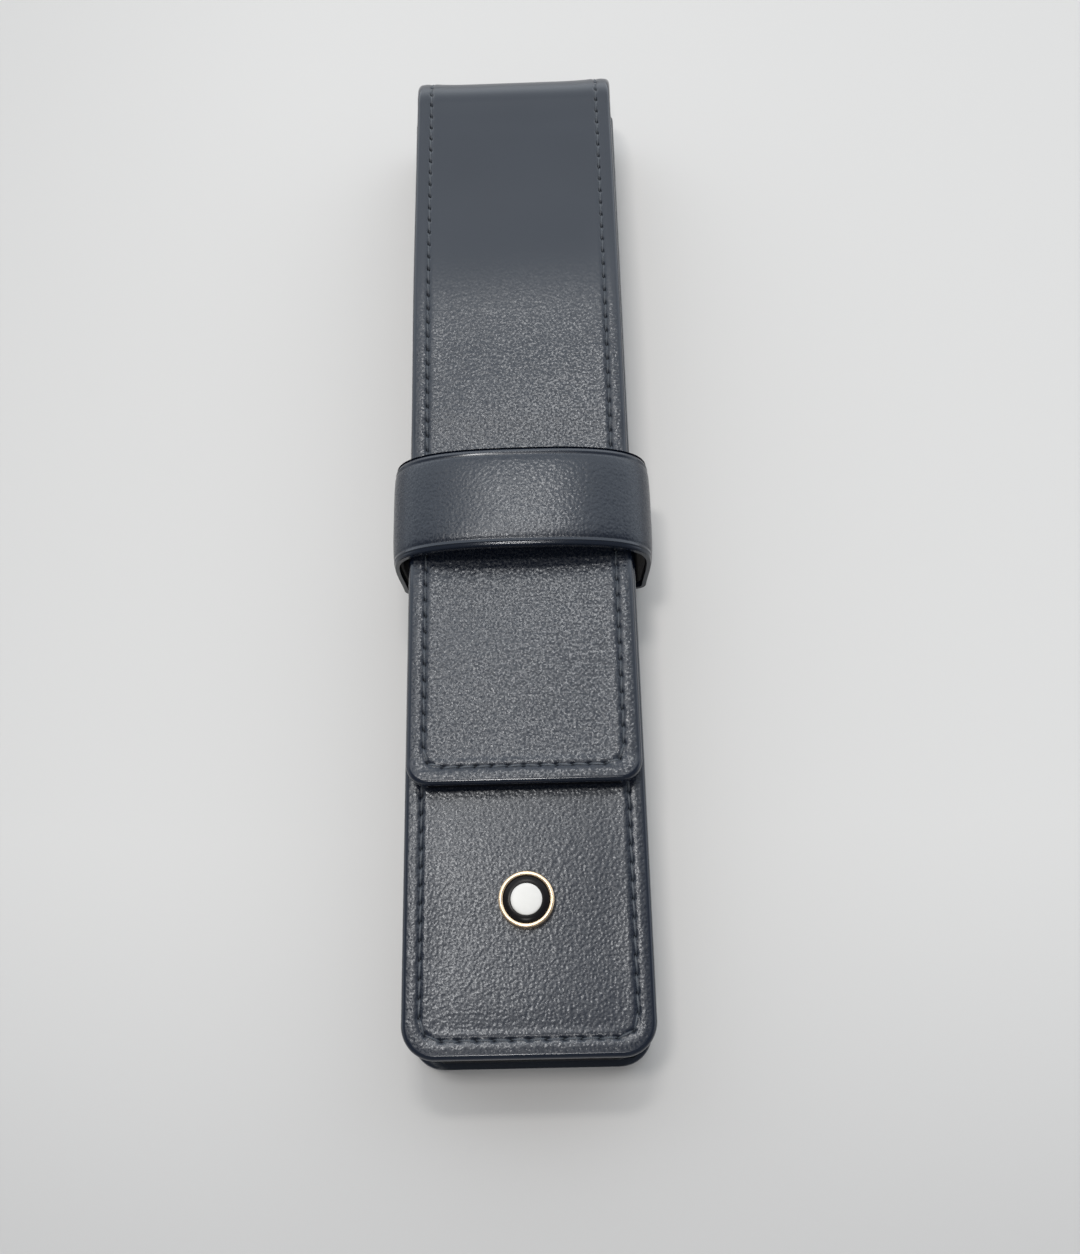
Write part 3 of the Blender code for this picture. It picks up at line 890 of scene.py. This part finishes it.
def lining_section():
    """Section of the lining on the side wall's inner face, as insets and heights."""
    face = wall_inset + flange_thickness + wall_bow + wall_lining_gap
    heights = np.linspace(gusset_lining_low.z, gusset_lining_high.z, wall_lining_points)
    bow = wall_bow * np.sin(math.pi * np.linspace(0.0, 1.0, wall_lining_points))
    sheet = [(face - wall_bow + b, z) for b, z in zip(bow, heights)]
    return sheet + [(inset + wall_lining_thickness, z) for inset, z in sheet[::-1]]


def wall_sheet(name, section, material):
    """A sheet of one section all along the side wall."""
    path = wall_path()
    rings = [wall_ring(point, inward, section) for point, inward in path]
    sheet = loft(name, rings, material, wrapped(section, [point for point, _ in path]))
    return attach(sheet, "case")


def make_gusset():
    section = wall_section(gusset_low.z, gusset_high.z)
    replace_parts(wall_sheet("gusset_skin", section, calf), "gusset_leather")
    inside = wall_sheet("gusset_lining_sheet", lining_section(), lining)
    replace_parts(inside, "gusset_lining")


# Loop

loop_middle = (loop_low.y + loop_high.y) / 2
loop_half = (loop_high.y - loop_low.y) / 2
loop_power = 2.9
loop_arch = 0.0095
loop_foot = 0.0021
loop_lean = 0.0003
loop_slack = 0.0002
loop_shift = 0.0002
loop_skin = 0.0011
loop_lining_thickness = 0.0004
loop_edge = 0.00070
crease_inset = 0.0012
crease_width = 0.00022
crease_depth = 0.00012
crease_shares = (2, 1, 0.5, 0, -0.5, -1, -2)
loop_crown = 0.0003
loop_lip = 0.0004
band_inset = 0.0008
band_gap = 0.00005
band_round = 0.00015
band_trim = 4
band_steps = 5
band_points = 9
foot_points = 9
side_points = 12
arch_points = 34


def loop_outline():
    """Outer face of the loop seen along the case, from one foot over the top to the other."""
    shoulder = loop_high.z - loop_arch
    foot = loop_low.z + loop_foot
    half = loop_high.x + loop_slack
    bent = half - loop_lean - loop_foot
    curl = [(bent + loop_foot * math.cos(t), foot - loop_foot * math.sin(t))
            for t in np.linspace(math.pi / 2, 0.0, foot_points)]
    side = [(half - loop_lean * (1 - rise(share)), foot + share * (shoulder - foot))
            for share in np.linspace(0.0, 1.0, side_points)[1:]]
    arch = []
    for t in np.linspace(0.0, math.pi / 2, arch_points)[1:]:
        arch.append((half * math.cos(t) ** (2 / loop_power),
                     shoulder + loop_arch * math.sin(t) ** (2 / loop_power)))
    right = [(bent - loop_lip, loop_low.z)] + curl + side + arch
    outline = np.array(right + [(-x, z) for x, z in right[-2::-1]])
    steps = np.gradient(outline, axis=0)
    steps /= np.linalg.norm(steps, axis=1)[:, None]
    return outline, np.stack([steps[:, 1], -steps[:, 0]], -1)


def band_section(half, outer, inner, rounding, creased):
    """Section of the loop across its width, as places across it and depths."""
    steps = quarter(band_steps)
    edge = [(half - rounding * (1 - math.sin(t)), outer + rounding * (1 - math.cos(t))) for t in steps]
    across = [half - crease_inset + share * crease_width for share in crease_shares]
    across += list(np.linspace(across[-1], 0.0, band_points)[1:])
    face = []
    for a in across:
        off = (a - half + crease_inset) / crease_width
        depth = outer + creased * crease_depth * math.exp(-off ** 2)
        depth -= creased * loop_crown * (1 - (a / half) ** 4)
        face.append((a, depth))
    lower = [(half - rounding * (1 - math.sin(t)), inner - rounding * (1 - math.cos(t))) for t in steps]
    right = [(half, (outer + inner) / 2)] + edge[::-1] + face
    whole = right + [(-a, depth) for a, depth in right[-2::-1]]
    under = [(-a, depth) for a, depth in lower[::-1]] + lower
    return whole + under


def make_band(name, outline, normals, section, material):
    """A band of one section drawn along the loop's outline."""
    section = np.array(section)
    rings = []
    for (x, z), (nx, nz) in zip(outline, normals):
        rings.append(np.stack([loop_shift + x - section[:, 1] * nx, loop_middle + section[:, 0],
                               z - section[:, 1] * nz], -1))
    rim = rise((np.abs(section[:, 0]) - loop_half + crease_inset) / crease_width)
    piece = loft(name, rings, material, wrapped(section, outline),
                 burnished=np.tile(rim, len(rings)))
    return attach(piece, "case")


def make_loop():
    outline, normals = loop_outline()
    section = band_section(loop_half, loop_crown, loop_skin, loop_edge, creased=1.0)
    leather = make_band("loop_skin", outline, normals, section, loop_calf)
    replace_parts(leather, "loop_leather")
    section = band_section(loop_half - band_inset, loop_skin + band_gap,
                           loop_skin + loop_lining_thickness, band_round, creased=0.0)
    part = slice(band_trim, -band_trim)
    inside = make_band("loop_lining_band", outline[part], normals[part], section, lining)
    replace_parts(inside, "loop_lining")


# Emblem

emblem_turns = 96
ring_wall = 0.00066
ring_sink = 0.0001
bead_points = 13
disc_bevel = 0.00012
seat_gap = 0.00006
seat_depth = 0.00018
dome_crown = 0.00010
dome_rim = 0.00012
dome_points = 14
dome_top = 0.005
pinhole = 0.00001


def turned(name, profile, material):
    """A round piece turned from a profile of radii and heights about the emblem's axis."""
    middle = (ring_low.y + ring_high.y) / 2
    turns = 2 * math.pi * np.arange(emblem_turns) / emblem_turns
    profile = np.array(profile)
    rings = np.stack(np.broadcast_arrays(profile[:, 0] * np.cos(turns)[:, None],
                                         middle + profile[:, 0] * np.sin(turns)[:, None],
                                         profile[:, 1] + 0 * turns[:, None]), -1)
    piece = loft(name, rings, material, rings, closed=True)
    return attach(piece, "case")


def make_emblem():
    """A gilt ring round a black disc, and a plain domed inlay seated in the disc."""
    outer = ring_high.x
    foot = front_high.z - ring_sink
    bead = [(outer - ring_wall / 2 + ring_wall / 2 * math.cos(t),
             ring_high.z - ring_wall / 2 + ring_wall / 2 * math.sin(t))
            for t in np.linspace(0.0, math.pi, bead_points)]
    profile = [(outer, foot)] + bead + [(outer - ring_wall, foot)]
    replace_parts(turned("emblem_rim", profile, gilt_metal), "emblem_ring")

    edge = disc_high.x
    seat = inlay_high.x + seat_gap
    face = disc_high.z
    profile = [(edge, disc_low.z), (edge, face - disc_bevel), (edge - disc_bevel, face), (seat, face),
               (seat, face - seat_depth), (2 * pinhole, face - seat_depth), (2 * pinhole, disc_low.z)]
    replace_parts(turned("emblem_face", profile, enamel), "emblem_disc")

    reach = inlay_high.x
    dome = []
    for t in np.linspace(math.pi / 2, dome_top, dome_points):
        drop = 1 - math.cos(t)
        dome.append((reach * math.sin(t), inlay_high.z - dome_crown * drop - dome_rim * drop ** 4))
    profile = [(reach, inlay_low.z)] + dome + [(pinhole, inlay_low.z)]
    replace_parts(turned("emblem_spot", profile, resin), "emblem_inlay")


def finish_inner_parts():
    """The solids that keep their shape: the boards, and what holds the emblem."""
    finishes = {"back_board": board, "front_board": board, "flap_tongue_board": board,
                "emblem_shank": gilt_metal, "emblem_washer": gilt_metal}
    for node, material in finishes.items():
        materials = frame["nodes"][node].data.materials
        materials.clear()
        materials.append(material)


make_strip()
make_front()
make_gusset()
make_loop()
make_emblem()
finish_inner_parts()


# Floor, light and camera

floor_size = 1.6
floor_drop = 0.00015
# Painted shade on the floor: its colour grows paler along Y and along X over these ranges, in millimetres
floor_painted_shade_y = (-150.0, -30.0)
floor_painted_shade_x = (-120.0, -30.0)
floor_painted_shade_left = 0.90
floor_cloud = 0.1
floor_painted_dark = (0.465, 0.465, 0.47)
floor_pale = (0.675, 0.675, 0.675)
# Each lamp's lean to the fold and to the left in degrees, its width and length in metres, and its watts
lamps = {"lamp_far": (22.0, 2, 0.18, 0.07, 1.35), "lamp_left": (4, 11, 0.12, 0.12, 1.70),
         "lamp_wide": (3, 0, 0.40, 0.10, 0.15), "lamp_near": (-25, 3, 0.06, 0.05, 1.00)}
lamp_distance = 0.9
lamp_colour = (1.0, 0.95, 0.90)
sky_colour = (0.92, 0.965, 1.0, 1.0)
# Brightness of the studio's walls and ceiling
far_wall = 1.9
left_wall = 1.1
right_wall = 1.45
near_wall = 0.28
near_ceiling = 0.20
ceiling = 1.8
far_ceiling = 1.15
# Where these brightnesses meet, as parts of a direction from the case
sides_meet = (-0.5, 0.5)
near_meets_sides = (-0.45, 0.0)
sides_meet_far = (0.0, 0.85)
ceiling_starts = (0.05, 0.60)
ceiling_ends = (0.50, 0.80)
walls_meet_ceiling = (0.15, 0.65)
camera_place = Vector((0.00577, -0.08189, 0.18197))
camera_tilt = math.radians(20.04)
camera_yaw = math.radians(3.04)
camera_roll = math.radians(-4.43)
picture_width = 1080
focal_pixels = 1241


def make_floor():
    n = Nodes("pale_table")
    place = object_place(n)
    cloud = n.noise(place, scale=0.004)
    parts = n.add("ShaderNodeSeparateXYZ", {0: place}).outputs
    # Painted shade: the floor's colour is darker towards the camera and a little darker to the left
    far = n.spread(parts["Y"], 0.0, 1.0, *floor_painted_shade_y, interpolation_type="SMOOTHSTEP")
    painted_dim = n.spread(parts["X"], floor_painted_shade_left, 1.0, *floor_painted_shade_x, interpolation_type="SMOOTHSTEP")
    shade = n.math("ADD", far, n.math("MULTIPLY", cloud, floor_cloud))
    pale = n.mix(shade, floor_painted_dark, floor_pale)
    n.set(Base_Color=n.scaled(pale, painted_dim), Roughness=n.spread(cloud, 0.62, 0.72), Specular_IOR_Level=0.3)
    n.bump(cloud, distance=0.00002)
    half = floor_size / 2
    mesh = bpy.data.meshes.new("table_top")
    mesh.from_pydata([(-half, -half, 0.0), (half, -half, 0.0), (half, half, 0.0), (-half, half, 0.0)], [],
                     [(0, 1, 2, 3)])
    mesh.materials.append(n.material)
    floor = add_object("table_top", mesh)
    floor.location.z = -floor_drop


def make_room():
    """A plain studio: pale walls behind and beside, a dark near side, and a bright ceiling."""
    world = bpy.data.worlds.new("studio")
    world.use_nodes = True
    tree = world.node_tree
    sky = tree.nodes["Background"]
    direction = tree.nodes.new("ShaderNodeTexCoord").outputs["Generated"]
    parts = tree.nodes.new("ShaderNodeSeparateXYZ")
    tree.links.new(direction, parts.inputs[0])

    def ramp(axis, meeting, low, high):
        """Brightness that goes from low to high as a direction's part along an axis grows."""
        node = tree.nodes.new("ShaderNodeMapRange")
        node.interpolation_type = "SMOOTHSTEP"
        tree.links.new(parts.outputs[axis], node.inputs["Value"])
        node.inputs["From Min"].default_value = meeting[0]
        node.inputs["From Max"].default_value = meeting[1]
        for name, number in (("To Min", low), ("To Max", high)):
            if isinstance(number, bpy.types.NodeSocket):
                tree.links.new(number, node.inputs[name])
            else:
                node.inputs[name].default_value = number
        return node.outputs["Result"]

    sides = ramp("X", sides_meet, left_wall, right_wall)
    walls = ramp("Y", near_meets_sides, near_wall, sides)
    walls = ramp("Y", sides_meet_far, walls, far_wall)
    overhead = ramp("Y", ceiling_starts, near_ceiling, ceiling)
    overhead = ramp("Y", ceiling_ends, overhead, far_ceiling)
    tree.links.new(ramp("Z", walls_meet_ceiling, walls, overhead), sky.inputs["Strength"])
    sky.inputs["Color"].default_value = sky_colour
    bpy.context.scene.world = world


def make_lamps():
    for name, (lean, left, width, length, power) in lamps.items():
        lamp = bpy.data.lights.new(name, "AREA")
        lamp.shape = "RECTANGLE"
        lamp.size = width
        lamp.size_y = length
        lamp.energy = power
        lamp.color = lamp_colour
        turn = Matrix.Rotation(-math.radians(lean), 4, "X") @ Matrix.Rotation(-math.radians(left), 4, "Y")
        soft_box = add_object(name, lamp)
        soft_box.matrix_world = turn @ Matrix.Translation((0.0, 0.0, lamp_distance))


def make_camera():
    """The photograph's view: a tilt from straight down, then a yaw and a roll."""
    yaw = Matrix.Rotation(camera_yaw, 3, "Z")
    ahead = yaw @ Vector((0.0, math.sin(camera_tilt), -math.cos(camera_tilt)))
    upright = yaw @ Vector((0.0, math.cos(camera_tilt), math.sin(camera_tilt)))
    level = yaw @ Vector((1.0, 0.0, 0.0))
    right = math.cos(camera_roll) * level + math.sin(camera_roll) * upright
    up = math.cos(camera_roll) * upright - math.sin(camera_roll) * level
    camera = bpy.data.cameras.new("camera")
    camera.sensor_fit = "HORIZONTAL"
    camera.lens = camera.sensor_width * focal_pixels / picture_width
    camera.clip_start = 0.005
    turn = Matrix((right, up, -ahead)).transposed()
    holder = add_object("camera", camera)
    holder.matrix_world = Matrix.Translation(camera_place) @ turn.to_4x4()
    bpy.context.scene.camera = holder


make_floor()
make_room()
make_lamps()
make_camera()
bpy.context.scene.view_settings.view_transform = "Standard"
